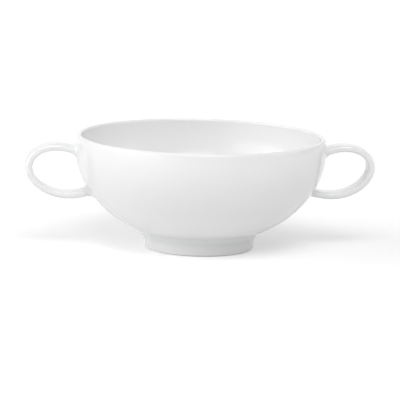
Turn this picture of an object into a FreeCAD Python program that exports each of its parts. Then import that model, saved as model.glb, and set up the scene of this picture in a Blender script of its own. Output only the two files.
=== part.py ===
"""Bouillon cup: a low two-handled soup cup of glazed porcelain, fired as one piece.

Frame: millimetres, +Z up, origin on the table under the middle of the foot.
The handles lie along X, the drinking rim is uppermost.
"""

import math
import os

import FreeCAD
import Part

# Bowl
BELLY_DIAMETER = 113.0  # widest outside diameter
CUP_HEIGHT = 51.0  # table to rim
BELLY_DEPTH = 6.0  # rim down to the widest level
WALL_THICKNESS = 2.1  # at the widest level
BASE_THICKNESS = 3.7  # in the middle of the bottom

# Foot ring
FOOT_STAND = 2.5  # table to the lowest point that the outer curve would reach
FOOT_DIAMETER = 49.0
FOOT_RING_WIDTH = 3.0
FOOT_DRAFT = 6.0  # degrees, the ring widens towards the bowl
FOOT_SWEEP = 3.0  # hollow radius between ring and bowl
FOOT_EDGE = 0.8  # radius of the two edges that stand on the table
RECESS_DEPTH = 2.6  # table to the middle of the hollow underside
RECESS_CORNER = 1.0

# Handle loop: an oval in the XZ plane, its outer end tilted up
LOOP_OUTSIDE_BELLY = 6.3  # loop centre, outwards from the widest level
LOOP_DEPTH = 16.0  # loop centre, below the rim
LOOP_LENGTH = 30.5
LOOP_HEIGHT = 21.0
LOOP_TILT = 14.5  # degrees
UPPER_TURN = 12.0  # degrees of the upper root, from the top of the oval to where it runs straight
TAIL_TURN = 8.0  # degrees of the lower root, from the bottom of the oval to the tail
TAIL_RADIUS = 28.0  # the tail curves gently up into the wall
ROOT_RUN = 6.0  # how far tail and upper root run on past the skin of the wall
ROOT_BURY = 1.0  # how deep the clay of a root goes into the wall
ROOT_FILLET = 2.4  # slip smoothed round each root

# Handle strap: a flat band with well rounded edges, its back a little crowned
STRAP_WIDTH = 9.7
STRAP_BACK = 1.7  # widest line to the crown of the back
STRAP_INSIDE = 1.6  # widest line to the inside face
BACK_FULLNESS = 0.9  # 0.55 is a quarter ellipse, 1 is square
INSIDE_FULLNESS = 0.95

Z_AXIS = FreeCAD.Vector(0, 0, 1)


class Oval:
    """A quarter oval of two tangent arcs, the draughtsman's stand-in for an ellipse.

    Half axes along and up; the join of the arcs lies square to the chord between their ends.
    """

    def __init__(self, centre, along, up):
        a, b = along.Length, up.Length
        chord = math.hypot(a, b)
        self.centre = centre
        self.end_radius = chord * (chord - a + b) / (2 * a)
        self.side_radius = chord * (chord + a - b) / (2 * b)
        self.end_centre = centre + along * (1 - self.end_radius / a)
        self.side_centre = centre + up * (1 - self.side_radius / b)
        self.join_way = along * (b / (a * chord)) + up * (a / (b * chord))
        self.join = self.end_centre + self.join_way * self.end_radius
        self.end_side = along - up

    def reach(self, point, way):
        """Distance from a point outside, along a way that leads in, to the flat that touches the nearest arc."""
        on_end = (point - self.end_centre).dot(self.end_side) > 0
        centre = self.end_centre if on_end else self.side_centre
        radius = self.end_radius if on_end else self.side_radius
        inwards = centre - point
        return (inwards.Length - radius) * inwards.Length / inwards.dot(way)


def arc(start, middle, end):
    return Part.Arc(start, middle, end).toShape()


def arc_about(centre, start, end):
    """The shorter arc about a centre from start to end."""
    middle = (start - centre).normalize() + (end - centre).normalize()
    return arc(start, centre + middle.normalize() * (start - centre).Length, end)


def at(radius, height):
    """A point of the bowl's section, drawn in the YZ plane so that its seam is clear of the handles."""
    return FreeCAD.Vector(0, radius, height)


def turned(section):
    return section.revolve(FreeCAD.Vector(), Z_AXIS, 360)


def wall_oval(inset, raised):
    """Oval of a bowl wall from the belly down, inset at the belly and raised at the bottom."""
    radius = BELLY_DIAMETER / 2 - inset
    belly_z = CUP_HEIGHT - BELLY_DEPTH
    return Oval(at(0, belly_z), at(radius, 0), at(0, FOOT_STAND + raised - belly_z))


def lip_arc(outer, inner):
    """The full round of the lip: the circle that touches both walls and the rim plane."""
    p, q = outer.end_centre.y, inner.end_centre.y
    big, small = outer.end_radius, inner.end_radius
    rise = BELLY_DEPTH
    slope = (q - p) / (big + small)
    base = (big**2 - small**2 - p**2 + q**2) / (2 * (big + small))
    middle = p + (big - rise) * slope
    across = middle + math.sqrt(middle**2 - p**2 - rise**2 + big**2 - 2 * (big - rise) * base)
    radius = base - slope * across
    centre = at(across, CUP_HEIGHT - radius)
    outside = centre + (centre - outer.end_centre).normalize() * radius
    inside = centre - (centre - inner.end_centre).normalize() * radius
    return outside, arc(outside, at(across, CUP_HEIGHT), inside), inside


def foot_edges(outer):
    """Underside, foot ring and hollow sweep, from the axis out to the bowl. Gives edges and their last point."""
    lean = math.radians(FOOT_DRAFT)
    up_side = at(math.sin(lean), math.cos(lean))
    out_side = at(math.cos(lean), -math.sin(lean))
    ring_outside = FOOT_DIAMETER / 2
    ring_inside = ring_outside - FOOT_RING_WIDTH

    ceiling_end = at(ring_inside - RECESS_CORNER, RECESS_DEPTH)
    recess_side = at(ring_inside, RECESS_DEPTH - RECESS_CORNER)
    inner_edge_top = at(ring_inside, FOOT_EDGE)
    inner_edge_end = at(ring_inside + FOOT_EDGE, 0)

    edge_centre = at(ring_outside - FOOT_EDGE * (1 - math.sin(lean)) / math.cos(lean), FOOT_EDGE)
    edge_start = at(edge_centre.y, 0)
    edge_top = edge_centre + out_side * FOOT_EDGE

    # the sweep's circle lies FOOT_SWEEP from the ring's side and from the bowl's bottom arc
    from_bowl = edge_top + out_side * FOOT_SWEEP - outer.side_centre
    reach = outer.side_radius + FOOT_SWEEP
    along = from_bowl.dot(up_side)
    run = -along - math.sqrt(along**2 - from_bowl.dot(from_bowl) + reach**2)
    sweep_start = edge_top + up_side * run
    sweep_centre = sweep_start + out_side * FOOT_SWEEP
    sweep_end = sweep_centre + (outer.side_centre - sweep_centre).normalize() * FOOT_SWEEP

    edges = [
        Part.makeLine(at(0, RECESS_DEPTH), ceiling_end),
        arc_about(at(ceiling_end.y, recess_side.z), ceiling_end, recess_side),
        Part.makeLine(recess_side, inner_edge_top),
        arc_about(at(inner_edge_end.y, inner_edge_top.z), inner_edge_top, inner_edge_end),
        Part.makeLine(inner_edge_end, edge_start),
        arc_about(edge_centre, edge_start, edge_top),
        Part.makeLine(edge_top, sweep_start),
        arc_about(sweep_centre, sweep_start, sweep_end),
    ]
    return edges, sweep_end


def make_bowl():
    """The bowl with its lip and foot ring: one closed section turned about the axis."""
    outer = wall_oval(0, 0)
    inner = wall_oval(WALL_THICKNESS, BASE_THICKNESS)
    foot, wall_start = foot_edges(outer)
    lip_outside, lip, lip_inside = lip_arc(outer, inner)
    bottom = at(0, FOOT_STAND + BASE_THICKNESS)
    edges = foot + [
        arc_about(outer.side_centre, wall_start, outer.join),
        arc_about(outer.end_centre, outer.join, lip_outside),
        lip,
        arc_about(inner.end_centre, lip_inside, inner.join),
        arc_about(inner.side_centre, inner.join, bottom),
        Part.makeLine(bottom, at(0, RECESS_DEPTH)),
    ]
    return turned(Part.Face(Part.Wire(edges)))


def handle_path():
    """Centre line of the strap: tail, loop, upper root. Gives the wire, its start and its first direction."""
    tilt = math.radians(LOOP_TILT)
    centre = FreeCAD.Vector(BELLY_DIAMETER / 2 + LOOP_OUTSIDE_BELLY, 0, CUP_HEIGHT - LOOP_DEPTH)
    out = FreeCAD.Vector(math.cos(tilt), 0, math.sin(tilt))
    up = FreeCAD.Vector(-math.sin(tilt), 0, math.cos(tilt))
    below = Oval(centre, out * (LOOP_LENGTH / 2), up * (-LOOP_HEIGHT / 2))
    above = Oval(centre, out * (LOOP_LENGTH / 2), up * (LOOP_HEIGHT / 2))

    def way(degrees):
        """Unit vector at an angle from out towards up."""
        turn = math.radians(degrees)
        return out * math.cos(turn) + up * math.sin(turn)

    tail_join = below.side_centre + way(-90 - TAIL_TURN) * below.side_radius
    upper_join = above.side_centre + way(90 + UPPER_TURN) * above.side_radius

    wall = wall_oval(0, 0)

    def root_run(join, inwards):
        """Length of a root, from its join with the loop to where it ends inside the wall."""
        return wall.reach(at(join.x, join.z), at(inwards.x, inwards.z)) + ROOT_RUN

    tail_run = root_run(tail_join, way(180 - TAIL_TURN))
    upper_way = way(180 + UPPER_TURN)
    upper_end = upper_join + upper_way * root_run(upper_join, upper_way)
    tail_centre = tail_join - way(-90 - TAIL_TURN) * TAIL_RADIUS
    tail_degrees = math.degrees(tail_run / TAIL_RADIUS)
    start_way = way(-90 - TAIL_TURN - tail_degrees)
    start = tail_centre + start_way * TAIL_RADIUS
    wire = Part.Wire(
        [
            arc_about(tail_centre, start, tail_join),
            arc_about(below.side_centre, tail_join, below.join),
            arc(below.join, centre + out * (LOOP_LENGTH / 2), above.join),
            arc_about(above.side_centre, above.join, upper_join),
            Part.makeLine(upper_join, upper_end),
        ]
    )
    return wire, start, start_way


def corner(start, sharp, end, fullness):
    """Rounds a sharp corner from start to end with a cubic curve that leaves and meets its legs."""
    curve = Part.BezierCurve()
    curve.setPoles([start, start + (sharp - start) * fullness, end + (sharp - end) * fullness, end])
    return curve.toShape()


def strap_section(place, outwards):
    """The strap's section, a flat-bottomed oval with its back towards outwards."""
    right = FreeCAD.Vector(0, STRAP_WIDTH / 2, 0)
    back, inside = outwards * STRAP_BACK, outwards * -STRAP_INSIDE
    return Part.Wire(
        [
            corner(place + right, place + right + back, place + back, BACK_FULLNESS),
            corner(place + back, place - right + back, place - right, BACK_FULLNESS),
            corner(place - right, place - right + inside, place + inside, INSIDE_FULLNESS),
            corner(place + inside, place + right + inside, place + right, INSIDE_FULLNESS),
        ]
    )


def make_handle():
    """One handle: the strap carried along its path, ended just under the wall's skin."""
    path, start, outwards = handle_path()
    sweep = Part.BRepOffsetAPI.MakePipeShell(path)
    sweep.setBiNormalMode(FreeCAD.Vector(0, 1, 0))
    sweep.add(strap_section(start, outwards))
    sweep.build()
    sweep.makeSolid()

    core = wall_oval(ROOT_BURY, ROOT_BURY)
    belly, axis_top = core.end_centre.y + core.end_radius, at(0, CUP_HEIGHT)
    edges = [
        arc_about(core.side_centre, core.side_centre + at(0, -core.side_radius), core.join),
        arc_about(core.end_centre, core.join, at(belly, core.centre.z)),
        Part.makeLine(at(belly, core.centre.z), at(belly, CUP_HEIGHT)),
        Part.makeLine(at(belly, CUP_HEIGHT), axis_top),
        Part.makeLine(axis_top, core.side_centre + at(0, -core.side_radius)),
    ]
    return sweep.shape().cut(turned(Part.Face(Part.Wire(edges))))


def root_edges(shape):
    """The edges where the straps leave the bowl's outer wall."""
    outer = wall_oval(0, 0)
    found = []
    for edge in shape.Edges:
        middle = edge.valueAt((edge.FirstParameter + edge.LastParameter) / 2)
        beside = at(math.hypot(middle.x, middle.y), middle.z)
        off_end = abs((beside - outer.end_centre).Length - outer.end_radius)
        off_side = abs((beside - outer.side_centre).Length - outer.side_radius)
        near_handle = abs(middle.y) < STRAP_WIDTH and edge.Length < 2 * STRAP_WIDTH
        if min(off_end, off_side) < 1e-3 and near_handle:
            found.append(edge)
    return found


def make_cup():
    """Bowl and handles as the one fired piece, with the slip smoothed round the roots."""
    handle = make_handle()
    other_handle = handle.copy()
    other_handle.rotate(FreeCAD.Vector(), Z_AXIS, 180)
    joined = make_bowl().fuse([handle, other_handle])
    return joined.makeFillet(ROOT_FILLET, root_edges(joined))


os.makedirs("parts", exist_ok=True)
cup = make_cup()
cup.exportStep("parts/cup.step")
print("cup: solids", len(cup.Solids), "volume cm3", round(cup.Volume / 1000, 2), "valid", cup.isValid())
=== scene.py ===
"""The bouillon cup as it is photographed: white porcelain under a clear glaze, on a pale floor."""

import math

import bpy
import numpy as np
from mathutils import Matrix, Vector


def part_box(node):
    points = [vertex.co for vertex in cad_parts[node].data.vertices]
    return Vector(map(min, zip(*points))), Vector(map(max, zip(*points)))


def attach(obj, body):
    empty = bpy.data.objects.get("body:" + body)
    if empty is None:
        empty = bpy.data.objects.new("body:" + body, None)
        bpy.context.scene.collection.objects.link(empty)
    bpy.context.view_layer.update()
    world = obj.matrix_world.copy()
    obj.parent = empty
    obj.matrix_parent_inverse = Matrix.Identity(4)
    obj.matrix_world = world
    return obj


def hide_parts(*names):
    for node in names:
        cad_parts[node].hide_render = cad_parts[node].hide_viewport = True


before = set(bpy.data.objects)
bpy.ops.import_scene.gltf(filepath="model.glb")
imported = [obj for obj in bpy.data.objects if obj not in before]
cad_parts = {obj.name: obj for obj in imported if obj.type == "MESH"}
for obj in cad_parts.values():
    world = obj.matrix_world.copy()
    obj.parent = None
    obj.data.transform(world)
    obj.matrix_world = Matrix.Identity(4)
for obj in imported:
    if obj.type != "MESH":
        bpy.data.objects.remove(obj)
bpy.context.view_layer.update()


# The bowl
# A thin round wall of hard porcelain, jiggered over a plaster mould, with a
# full-round lip and a foot ring turned from the same clay.

MM = 0.001
cup_low, cup_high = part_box("cup")
BELLY_RADIUS = (cup_high[1] - cup_low[1]) / 2
RIM_HEIGHT = cup_high[2]
BELLY_DEPTH = 6.0 * MM  # rim down to the widest place
FOOT_STAND = 2.5 * MM  # table to the lowest point that the outer curve would reach
BELLY_HEIGHT = RIM_HEIGHT - BELLY_DEPTH
OUTER_DEPTH = BELLY_HEIGHT - FOOT_STAND
WALL = 2.1 * MM
BASE = 3.7 * MM
LIP_DEPTH = 1.05 * MM  # crest of the lip to where it meets the wall's curves

RING_RADIUS = 24.5 * MM
RING_WIDTH = 3.0 * MM
RING_EDGE = 0.8 * MM
RING_SWEEP = 3.6 * MM  # size of the hollow curve between ring and bowl
RING_TAPER = 0.5 * MM  # how much wider the ring is where that curve starts
RECESS_DEPTH = 2.6 * MM
RECESS_CORNER = 1.0 * MM

AROUND = 360  # facets round the bowl
ARC_FULLNESS = 0.5523  # makes a cubic corner run like a quarter circle


def straight(start, end, count):
    """Points evenly spaced from start towards end, the last left out."""
    share = np.linspace(0, 1, count, endpoint=False)[:, None]
    return (1 - share) * start + share * end


def corner(start, sharp, end, count, fullness=ARC_FULLNESS):
    """Cubic curve from start to end, its two handles each a share of the leg to the sharp corner."""
    first = start + (sharp - start) * fullness
    second = end + (sharp - end) * fullness
    u = np.linspace(0, 1, count, endpoint=False)[:, None]
    return (1 - u) ** 3 * start + 3 * u * (1 - u) ** 2 * first + 3 * u**2 * (1 - u) * second + u**3 * end


def wall_curve(radius, depth, start, end, count):
    """Stretch of the wall's ellipse: radius times cosine out, depth times sine up from the belly."""
    turn = np.linspace(start, end, count, endpoint=False)
    return np.stack([radius * np.cos(turn), BELLY_HEIGHT + depth * np.sin(turn)], axis=1)


def wall_end(radius, depth, height):
    """Angle on the wall's ellipse at a height, the point there, and its lean outwards per unit of height."""
    turn = math.asin((height - BELLY_HEIGHT) / depth)
    point = np.array([radius * math.cos(turn), height])
    return turn, point, -radius * math.sin(turn) / (depth * math.cos(turn))


def bowl_profile():
    """Closed half section of the bowl, from the middle of the underside out, up, over the lip and down inside.

    The wall is two ellipses about the belly's height. The last number of each stretch is its count of points.
    """

    def at(radius, height):
        return np.array([radius, height])

    inner_radius, inner_depth = BELLY_RADIUS - WALL, OUTER_DEPTH - BASE
    ring_inside = RING_RADIUS - RING_WIDTH

    sweep_radius = RING_RADIUS + RING_TAPER + RING_SWEEP
    sweep_turn = -math.acos(sweep_radius / BELLY_RADIUS)
    sweep_end = at(sweep_radius, BELLY_HEIGHT + OUTER_DEPTH * math.sin(sweep_turn))
    slope = -OUTER_DEPTH * math.cos(sweep_turn) / (BELLY_RADIUS * math.sin(sweep_turn))
    sweep_corner = sweep_end - at(1, slope) * RING_SWEEP
    sweep_start = sweep_corner - at(RING_TAPER / sweep_corner[1], 1) * RING_SWEEP
    edge_top = at(RING_RADIUS, RING_EDGE)

    lip_base = RIM_HEIGHT - LIP_DEPTH
    outer_turn, outside, outer_lean = wall_end(BELLY_RADIUS, OUTER_DEPTH, lip_base)
    inner_turn, inside, inner_lean = wall_end(inner_radius, inner_depth, lip_base)
    outer_top = outside + at(outer_lean, 1) * LIP_DEPTH
    inner_top = inside + at(inner_lean, 1) * LIP_DEPTH
    crest = (outer_top + inner_top) / 2

    ceiling_end = at(ring_inside - RECESS_CORNER, RECESS_DEPTH)
    recess_side = at(ring_inside, RECESS_DEPTH - RECESS_CORNER)
    inner_edge_top = at(ring_inside, RING_EDGE)
    inner_edge_end = at(ring_inside + RING_EDGE, 0)
    outer_edge_start = at(RING_RADIUS - RING_EDGE, 0)

    return np.concatenate(
        [
            straight(at(0, RECESS_DEPTH), ceiling_end, 6),
            corner(ceiling_end, at(ring_inside, RECESS_DEPTH), recess_side, 8),
            straight(recess_side, inner_edge_top, 3),
            corner(inner_edge_top, at(ring_inside, 0), inner_edge_end, 8),
            straight(inner_edge_end, outer_edge_start, 4),
            corner(outer_edge_start, at(RING_RADIUS, 0), edge_top, 8),
            straight(edge_top, sweep_start, 4),
            corner(sweep_start, sweep_corner, sweep_end, 14),
            wall_curve(BELLY_RADIUS, OUTER_DEPTH, sweep_turn, outer_turn, 52),
            corner(outside, outer_top, crest, 9),
            corner(crest, inner_top, inside, 9),
            wall_curve(inner_radius, inner_depth, inner_turn, -math.pi / 2, 60),
            at(0, BELLY_HEIGHT - inner_depth)[None],
        ]
    )


def turned(profile):
    """Surface of revolution: each profile point goes round the Z axis, and the two ends on it are single points."""
    angle = np.linspace(0, 2 * math.pi, AROUND, endpoint=False)
    rings = profile[1:-1]
    points = np.empty((len(rings), AROUND, 3))
    points[:, :, 0] = rings[:, :1] * np.cos(angle)
    points[:, :, 1] = rings[:, :1] * np.sin(angle)
    points[:, :, 2] = rings[:, 1:]
    return points, np.array([0, 0, profile[0, 1]]), np.array([0, 0, profile[-1, 1]])


def closed_tube(points, first, last):
    """Vertices and faces of a grid of closed rings, with a fan of triangles to a single point at either end."""
    rings, around = points.shape[:2]
    vertices = np.concatenate([points.reshape(-1, 3), [first, last]])
    ring = np.arange(around)
    following = (ring + 1) % around
    row = np.arange(rings - 1)[:, None] * around
    quads = np.stack([row + ring, row + following, row + around + following, row + around + ring], axis=-1)
    first_fan = np.stack([np.full(around, rings * around), following, ring], axis=-1)
    top = (rings - 1) * around
    last_fan = np.stack([np.full(around, rings * around + 1), top + ring, top + following], axis=-1)
    return vertices, quads.reshape(-1, 4), np.concatenate([first_fan, last_fan])


bowl_shell = closed_tube(*turned(bowl_profile()))


# The handles
# Two pressed straps of the same clay, flat with well rounded edges, bent into a
# loop and stuck to the leather-hard bowl with slip.

LOOP_OUTSIDE_BELLY = 6.3 * MM
LOOP_DEPTH = 16.0 * MM  # rim down to the middle of the loop
LOOP_CENTRE = np.array([BELLY_RADIUS + LOOP_OUTSIDE_BELLY, RIM_HEIGHT - LOOP_DEPTH])
LOOP_LENGTH = 30.5 * MM
LOOP_HEIGHT = 21.0 * MM
LOOP_TILT = math.radians(14.5)
UPPER_END = math.radians(112)  # the turns at which the loop's ellipse goes over into its two ends
TAIL_START = math.radians(-106.5)
TAIL_RADIUS = 28.0 * MM
ROOT_RUN = 16.0 * MM  # length of both ends, enough to reach into the wall

STRAP_WIDTH = 9.7 * MM
STRAP_BACK = 1.7 * MM
STRAP_INSIDE = 1.6 * MM
BACK_FULLNESS = 0.8  # 0.55 would be oval, 1 square
INSIDE_FULLNESS = 0.95
SLIP_RADIUS = 2.4 * MM

LOOP_POINTS, END_POINTS = 1200, 300  # on the strap's centre line
ROOT_TRIES = 900  # places along it that are tried for the wall
SECTION_POINTS = 24  # in each quarter of the strap's section
STRAP_RINGS, ROOT_RINGS = 112, 14


def strap_section(count):
    """Section of the strap as across and outwards offsets, with the outward normal at each point."""
    side = np.array([STRAP_WIDTH / 2, 0])
    back, inside = np.array([0, STRAP_BACK]), np.array([0, -STRAP_INSIDE])
    outline = np.concatenate(
        [
            corner(side, side + back, back, count, BACK_FULLNESS),
            corner(back, back - side, -side, count, BACK_FULLNESS),
            corner(-side, inside - side, inside, count, INSIDE_FULLNESS),
            corner(inside, inside + side, side, count, INSIDE_FULLNESS),
        ]
    )
    along = np.roll(outline, -1, axis=0) - np.roll(outline, 1, axis=0)
    normal = np.stack([along[:, 1], -along[:, 0]], axis=1)
    return outline, normal / np.linalg.norm(normal, axis=1, keepdims=True)


def handle_line():
    """Centre line of the strap in the XZ plane, as points closely spaced, their run and their heading.

    A circular tail leads out of the wall into an ellipse, and a straight run leads back from it.
    """
    turn = np.linspace(TAIL_START, UPPER_END, LOOP_POINTS)
    cosine, sine = math.cos(LOOP_TILT), math.sin(LOOP_TILT)
    along = np.cos(turn) * LOOP_LENGTH / 2
    up = np.sin(turn) * LOOP_HEIGHT / 2
    loop = LOOP_CENTRE + np.stack([along * cosine - up * sine, along * sine + up * cosine], axis=1)

    ahead = (loop[1] - loop[0]) / np.linalg.norm(loop[1] - loop[0])
    inwards = np.array([-ahead[1], ahead[0]])
    bend = np.linspace(ROOT_RUN / TAIL_RADIUS, 0, END_POINTS, endpoint=False)[:, None]
    tail = loop[0] - ahead * TAIL_RADIUS * np.sin(bend) + inwards * TAIL_RADIUS * (1 - np.cos(bend))

    leaving = (loop[-1] - loop[-2]) / np.linalg.norm(loop[-1] - loop[-2])
    upper = loop[-1] + leaving * np.linspace(0, ROOT_RUN, END_POINTS)[1:, None]
    line = np.concatenate([tail, loop, upper])
    step = np.diff(line, axis=0)
    run = np.concatenate([[0], np.cumsum(np.linalg.norm(step, axis=1))])
    heading = np.unwrap(np.arctan2(step[:, 1], step[:, 0]))
    return line, run, np.interp(run, (run[1:] + run[:-1]) / 2, heading)


def off_wall(points):
    """Distance of points outside the bowl's outer wall: the ellipse's own measure over its steepness."""
    radius = np.hypot(points[..., 0], points[..., 1])
    height = points[..., 2] - BELLY_HEIGHT
    measure = np.hypot(radius / BELLY_RADIUS, height / OUTER_DEPTH)
    steepness = np.hypot(radius / BELLY_RADIUS**2, height / OUTER_DEPTH**2) / measure
    return (measure - 1) / steepness


def handle_surface():
    """The strap as rings along its line, flared at both roots where the slip is smoothed onto the wall.

    The flare is a quarter circle: at an angle from 0 to 90 degrees it stands its radius times one minus
    the sine off the wall, and spreads its radius times one minus the cosine out from the strap.
    """
    line, run, heading = handle_line()
    outline, normal = strap_section(SECTION_POINTS)

    def on_strap(at_run, spread):
        """Points of the strap where each section point has its own run along the line and its own spread."""
        x = np.interp(at_run, run, line[:, 0])
        z = np.interp(at_run, run, line[:, 1])
        head = np.interp(at_run, run, heading)
        offset = outline + normal * spread[..., None]
        across, outwards = offset[..., 0], offset[..., 1]
        return np.stack([x + outwards * np.sin(head), across, z - outwards * np.cos(head)], axis=-1)

    # where each line of the strap meets the wall, at the tail and at the upper root
    tries = np.linspace(0, run[-1], ROOT_TRIES)[:, None] * np.ones(len(outline))
    clear = off_wall(on_strap(tries, np.zeros_like(tries))) > 0
    tail_run = tries[np.argmax(clear, axis=0), 0]
    upper_run = tries[len(tries) - 1 - np.argmax(clear[::-1], axis=0), 0]

    angle = np.radians(np.linspace(90, 0, ROOT_RINGS))[:, None]
    stands = SLIP_RADIUS * (1 - np.sin(angle)) * np.ones(len(outline))
    spreads = SLIP_RADIUS * (1 - np.cos(angle)) * np.ones(len(outline))
    # a thin skirt runs on from the flare just under the wall's surface, and closes the shell inside the wall
    buried = np.array([[-0.8], [-0.8], [-0.03], [-0.004]]) * MM * np.ones(len(outline))
    skirt = np.array([[-0.6], [0.0], [0.5], [0.18]]) * MM + SLIP_RADIUS * np.ones(len(outline))
    stands, spreads = np.concatenate([buried, stands]), np.concatenate([skirt, spreads])

    def root(meets, way):
        """Rings of one root, from inside the wall out to the plain strap, each set at its distance off the wall."""
        at_run = meets + way * stands
        for _ in range(4):
            points = on_strap(at_run, spreads)
            at_run = at_run - way * (off_wall(points) - stands)
        return points, at_run[-1]

    tail, tail_end = root(tail_run, 1)
    upper, upper_end = root(upper_run, -1)
    share = np.linspace(0, 1, STRAP_RINGS)[1:-1, None]
    middle = on_strap(tail_end + share * (upper_end - tail_end), np.zeros((len(share), len(outline))))
    rings = np.concatenate([tail, middle, upper[::-1]])
    return rings, tail[0].mean(axis=0), upper[0].mean(axis=0)


def half_turn(shell):
    """The same shell on the other side of the bowl: x and y change sign."""
    vertices, quads, fans = shell
    return vertices * [-1, -1, 1], quads, fans


handle_shell = closed_tube(*handle_surface())


def fired_piece(name, shells):
    """One mesh object of several closed shells, shaded smooth."""
    start = np.cumsum([0] + [len(vertices) for vertices, _, _ in shells])
    vertices = np.concatenate([vertices for vertices, _, _ in shells])
    faces = []
    for first, (_, quads, fans) in zip(start, shells):
        faces += (quads + first).tolist() + (fans + first).tolist()
    mesh = bpy.data.meshes.new(name)
    mesh.from_pydata(vertices.tolist(), [], faces)
    mesh.polygons.foreach_set("use_smooth", np.ones(len(mesh.polygons), dtype=bool))
    mesh.update()
    piece = bpy.data.objects.new(name, mesh)
    bpy.context.collection.objects.link(piece)
    return piece


cup = fired_piece("porcelain_cup", [bowl_shell, handle_shell, half_turn(handle_shell)])
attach(cup, "root")
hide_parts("cup")


# The glaze
# A clear feldspar glaze, fired to gloss over the white body. It lies in faint
# waves, gathers a little in the hollows at the roots and above the foot, and is
# wiped off the ring that stands on the kiln shelf.

PORCELAIN_WHITE = (0.86, 0.86, 0.86, 1)
GATHERED_WHITE = (0.82, 0.83, 0.832, 1)
HOLLOW = 3.0 * MM  # the glaze gathers up to this far off the wall
CLOUD_LENGTH, CLOUD_SHARE = 30 * MM, 0.2  # and a little more or less of it lies everywhere
NOISE_LOW, NOISE_HIGH = 0.3, 0.7  # nearly all of a noise lies between these
GLOSS_LENGTH, GLOSS_LOW, GLOSS_HIGH = 18 * MM, 0.05, 0.09

BARE_CLAY = (0.80, 0.785, 0.755, 1)
BARE_FROM, BARE_TO = 0.65 * MM, 0.80 * MM  # heights between which the wiped ring ends
RAGGED_LENGTH, RAGGED_HEIGHT = 2.5 * MM, 0.4 * MM
BARE_ROUGHER = 0.55  # added to the glaze's roughness

# blobs' length, and their height in millimetres
WAVE_LENGTH, WAVE_HEIGHT = 13 * MM, 0.02
PEEL_LENGTH, PEEL_HEIGHT = 1.6 * MM, 0.0012
SAND_LENGTH, SAND_HEIGHT = 0.35 * MM, 0.05


def gathered(points):
    """How much glaze gathers at each point: a smooth hump from the wall's own surface to HOLLOW off it."""
    share = np.clip(off_wall(points) / HOLLOW, 0, 1)
    return np.sin(np.pi * share) ** 2


corners = np.empty(3 * len(cup.data.vertices))
cup.data.vertices.foreach_get("co", corners)
pool_values = cup.data.attributes.new("gathered", "FLOAT", "POINT")
pool_values.data.foreach_set("value", gathered(corners.reshape(-1, 3)))

glaze = bpy.data.materials.new("clear_glaze")
glaze.use_nodes = True
tree = glaze.node_tree
shader = tree.nodes["Principled BSDF"]
shader.inputs["IOR"].default_value = 1.5
in_clay = tree.nodes.new("ShaderNodeTexCoord").outputs["Object"]


def noise(length, detail):
    """Soft noise through the clay, its blobs about a length across, as an output from 0 to 1."""
    cloud = tree.nodes.new("ShaderNodeTexNoise")
    cloud.inputs["Scale"].default_value = 1 / length
    cloud.inputs["Detail"].default_value = detail
    tree.links.new(in_clay, cloud.inputs["Vector"])
    return cloud.outputs["Fac"]


def joined(node, socket, value):
    """Give a node's input a plain value, or link it to another node's output in the same tree."""
    if isinstance(value, bpy.types.NodeSocket):
        node.id_data.links.new(value, socket)
    else:
        socket.default_value = value


def ranged(value, low, high, to_low, to_high):
    """A value carried smoothly from one range to another."""
    spread = value.id_data.nodes.new("ShaderNodeMapRange")
    spread.interpolation_type = "SMOOTHSTEP"
    numbers = {"Value": value, "From Min": low, "From Max": high, "To Min": to_low, "To Max": to_high}
    for name, number in numbers.items():
        joined(spread, spread.inputs[name], number)
    return spread.outputs["Result"]


def worked(operation, first, *others):
    """A math node on an output and one or two more values, each a number or another output."""
    sum_node = first.id_data.nodes.new("ShaderNodeMath")
    sum_node.operation = operation
    for socket, value in zip(sum_node.inputs, (first, *others)):
        joined(sum_node, socket, value)
    return sum_node.outputs["Value"]


def blended(share, first, second):
    """A colour between two, each a colour or another node's output, by an output from 0 to 1."""
    mix = share.id_data.nodes.new("ShaderNodeMix")
    mix.data_type = "RGBA"
    joined(mix, mix.inputs["Factor"], share)
    for name, colour in (("A", first), ("B", second)):
        joined(mix, next(s for s in mix.inputs if s.name == name and s.type == "RGBA"), colour)
    return next(s for s in mix.outputs if s.type == "RGBA")


height = tree.nodes.new("ShaderNodeSeparateXYZ")
tree.links.new(in_clay, height.inputs["Vector"])
ragged = worked("MULTIPLY_ADD", noise(RAGGED_LENGTH, 3), RAGGED_HEIGHT, height.outputs["Z"])
bare = ranged(ragged, BARE_FROM, BARE_TO, 1.0, 0.0)

pool = tree.nodes.new("ShaderNodeAttribute")
pool.attribute_name = "gathered"
depth = worked("MULTIPLY_ADD", noise(CLOUD_LENGTH, 2), CLOUD_SHARE, pool.outputs["Fac"])
white = blended(depth, PORCELAIN_WHITE, GATHERED_WHITE)
tree.links.new(blended(bare, white, BARE_CLAY), shader.inputs["Base Color"])

gloss = ranged(noise(GLOSS_LENGTH, 2), NOISE_LOW, NOISE_HIGH, GLOSS_LOW, GLOSS_HIGH)
tree.links.new(worked("MULTIPLY_ADD", bare, BARE_ROUGHER, gloss), shader.inputs["Roughness"])

waves = worked("MULTIPLY", noise(WAVE_LENGTH, 1), WAVE_HEIGHT)
skin = worked("MULTIPLY_ADD", noise(PEEL_LENGTH, 2), PEEL_HEIGHT, waves)
sand = worked("MULTIPLY", noise(SAND_LENGTH, 2), SAND_HEIGHT)
relief = tree.nodes.new("ShaderNodeBump")
relief.inputs["Distance"].default_value = MM
tree.links.new(worked("MULTIPLY_ADD", sand, bare, skin), relief.inputs["Height"])
tree.links.new(relief.outputs["Normal"], shader.inputs["Normal"])
cup.data.materials.append(glaze)


# The studio
# A white paper floor, even light all round and five soft lamps: the strongest
# high in front, two at the left, a weak one at the right and a faint one behind.

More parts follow.
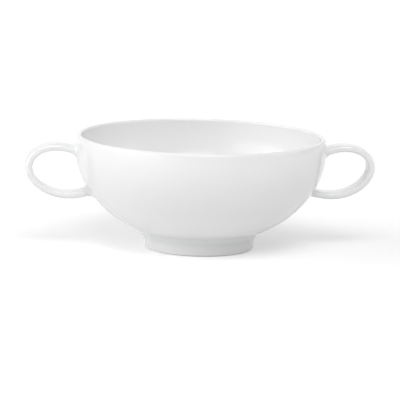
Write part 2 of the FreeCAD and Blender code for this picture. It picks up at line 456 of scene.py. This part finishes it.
PHOTO_PIXELS = 400
FOCAL_PIXELS = 2842.0
CAMERA_DISTANCE = 1.282
CAMERA_AZIMUTH = math.radians(-7.2)
CAMERA_ELEVATION = math.radians(9.69)
CAMERA_ROLL = math.radians(1.37)
RIM_CENTRE_PIXEL = (201.43, 135.61)
FILM_WIDTH_MM = 36.0

PAPER_REACH = 4.0
PAPER_WHITE = (0.85, 0.85, 0.85, 1)
PAPER_ROUGHNESS = 0.9
NEAR_PAPER, FAR_PAPER = 0.15, 1.0  # distances from the cup, for the two lifts
NEAR_LIFT, FAR_LIFT = 0.27, 0.6  # what the paper's own light lacks to be white
ROOM_LIGHT = 0.51
LAMP_SIZE = 1.3
LAMP_SPREAD = math.radians(75)
LAMP_AIM = Vector((0, 0, 0.03))

floor_mesh = bpy.data.meshes.new("floor")
paper_corners = [(x * PAPER_REACH, y * PAPER_REACH, 0) for x, y in ((-1, -1), (1, -1), (1, 1), (-1, 1))]
floor_mesh.from_pydata(paper_corners, [], [(0, 1, 2, 3)])
floor = bpy.data.objects.new("floor", floor_mesh)
bpy.context.collection.objects.link(floor)

paper = bpy.data.materials.new("white_paper")
paper.use_nodes = True
paper_shader = paper.node_tree.nodes["Principled BSDF"]
paper_shader.inputs["Base Color"].default_value = PAPER_WHITE
paper_shader.inputs["Roughness"].default_value = PAPER_ROUGHNESS
paper_shader.inputs["Specular IOR Level"].default_value = 0
paper_shader.inputs["Emission Color"].default_value = (1, 1, 1, 1)


def to_the_eye(tree):
    """1 for rays from the camera, a gloss or a glass, 0 for those that gather light."""
    path = tree.nodes.new("ShaderNodeLightPath")
    either = worked("MAXIMUM", path.outputs["Is Camera Ray"], path.outputs["Is Glossy Ray"])
    return worked("MAXIMUM", either, path.outputs["Is Transmission Ray"])


on_paper = paper.node_tree.nodes.new("ShaderNodeTexCoord").outputs["Object"]
off_cup = paper.node_tree.nodes.new("ShaderNodeVectorMath")
off_cup.operation = "LENGTH"
joined(off_cup, off_cup.inputs[0], on_paper)
lift = ranged(off_cup.outputs["Value"], NEAR_PAPER, FAR_PAPER, NEAR_LIFT, FAR_LIFT)
lift_to_eye = worked("MULTIPLY", to_the_eye(paper.node_tree), lift)
joined(paper_shader, paper_shader.inputs["Emission Strength"], lift_to_eye)
floor_mesh.materials.append(paper)

world = bpy.data.worlds.new("studio")
bpy.context.scene.world = world
world.use_nodes = True
air = world.node_tree
air.nodes.clear()
room = air.nodes.new("ShaderNodeBackground")
room.inputs["Strength"].default_value = ROOM_LIGHT
white_room = air.nodes.new("ShaderNodeBackground")
white_room.inputs["Strength"].default_value = 1.0
choose = air.nodes.new("ShaderNodeMixShader")
out = air.nodes.new("ShaderNodeOutputWorld")
air.links.new(to_the_eye(air), choose.inputs[0])
air.links.new(room.outputs[0], choose.inputs[1])
air.links.new(white_room.outputs[0], choose.inputs[2])
air.links.new(choose.outputs[0], out.inputs["Surface"])


def soft_lamp(name, stand, watts):
    """A square area lamp turned to face the cup. Its narrow spread makes it brightest in its middle."""
    lamp = bpy.data.lights.new(name, "AREA")
    lamp.size, lamp.energy, lamp.spread = LAMP_SIZE, watts, LAMP_SPREAD
    holder = bpy.data.objects.new(name, lamp)
    holder.location = stand
    holder.rotation_mode = "QUATERNION"
    holder.rotation_quaternion = (LAMP_AIM - Vector(stand)).to_track_quat("-Z", "Y")
    bpy.context.collection.objects.link(holder)


soft_lamp("left_softbox", (-1.55, -0.9, 0.52), 1.35)
soft_lamp("left_side_softbox", (-1.7, 0.1, 0.8), 2.75)
soft_lamp("back_softbox", (0.2, 1.6, 0.7), 0.35)
soft_lamp("right_softbox", (1.6, -0.3, 0.8), 1.05)
soft_lamp("front_softbox", (0.0, -1.4, 1.6), 3.8)

# the camera stands where the rim's centre falls on the photograph's own pixel
rim_centre = Vector((0, 0, RIM_HEIGHT))
back = Vector(
    (
        math.sin(CAMERA_AZIMUTH) * math.cos(CAMERA_ELEVATION),
        -math.cos(CAMERA_AZIMUTH) * math.cos(CAMERA_ELEVATION),
        math.sin(CAMERA_ELEVATION),
    )
)
level = Vector((math.cos(CAMERA_AZIMUTH), math.sin(CAMERA_AZIMUTH), 0))
upright = back.cross(level)
right = level * math.cos(CAMERA_ROLL) + upright * math.sin(CAMERA_ROLL)
up = upright * math.cos(CAMERA_ROLL) - level * math.sin(CAMERA_ROLL)
across = (RIM_CENTRE_PIXEL[0] - PHOTO_PIXELS / 2) / FOCAL_PIXELS * CAMERA_DISTANCE
down = (RIM_CENTRE_PIXEL[1] - PHOTO_PIXELS / 2) / FOCAL_PIXELS * CAMERA_DISTANCE
camera_stand = rim_centre - right * across + up * down + back * CAMERA_DISTANCE

camera_data = bpy.data.cameras.new("camera")
camera_data.sensor_width = FILM_WIDTH_MM
camera_data.lens = FOCAL_PIXELS / PHOTO_PIXELS * FILM_WIDTH_MM
camera = bpy.data.objects.new("camera", camera_data)
camera.matrix_world = Matrix.Translation(camera_stand) @ Matrix((right, up, back)).transposed().to_4x4()
bpy.context.collection.objects.link(camera)
bpy.context.scene.camera = camera

bpy.context.scene.view_settings.view_transform = "Standard"
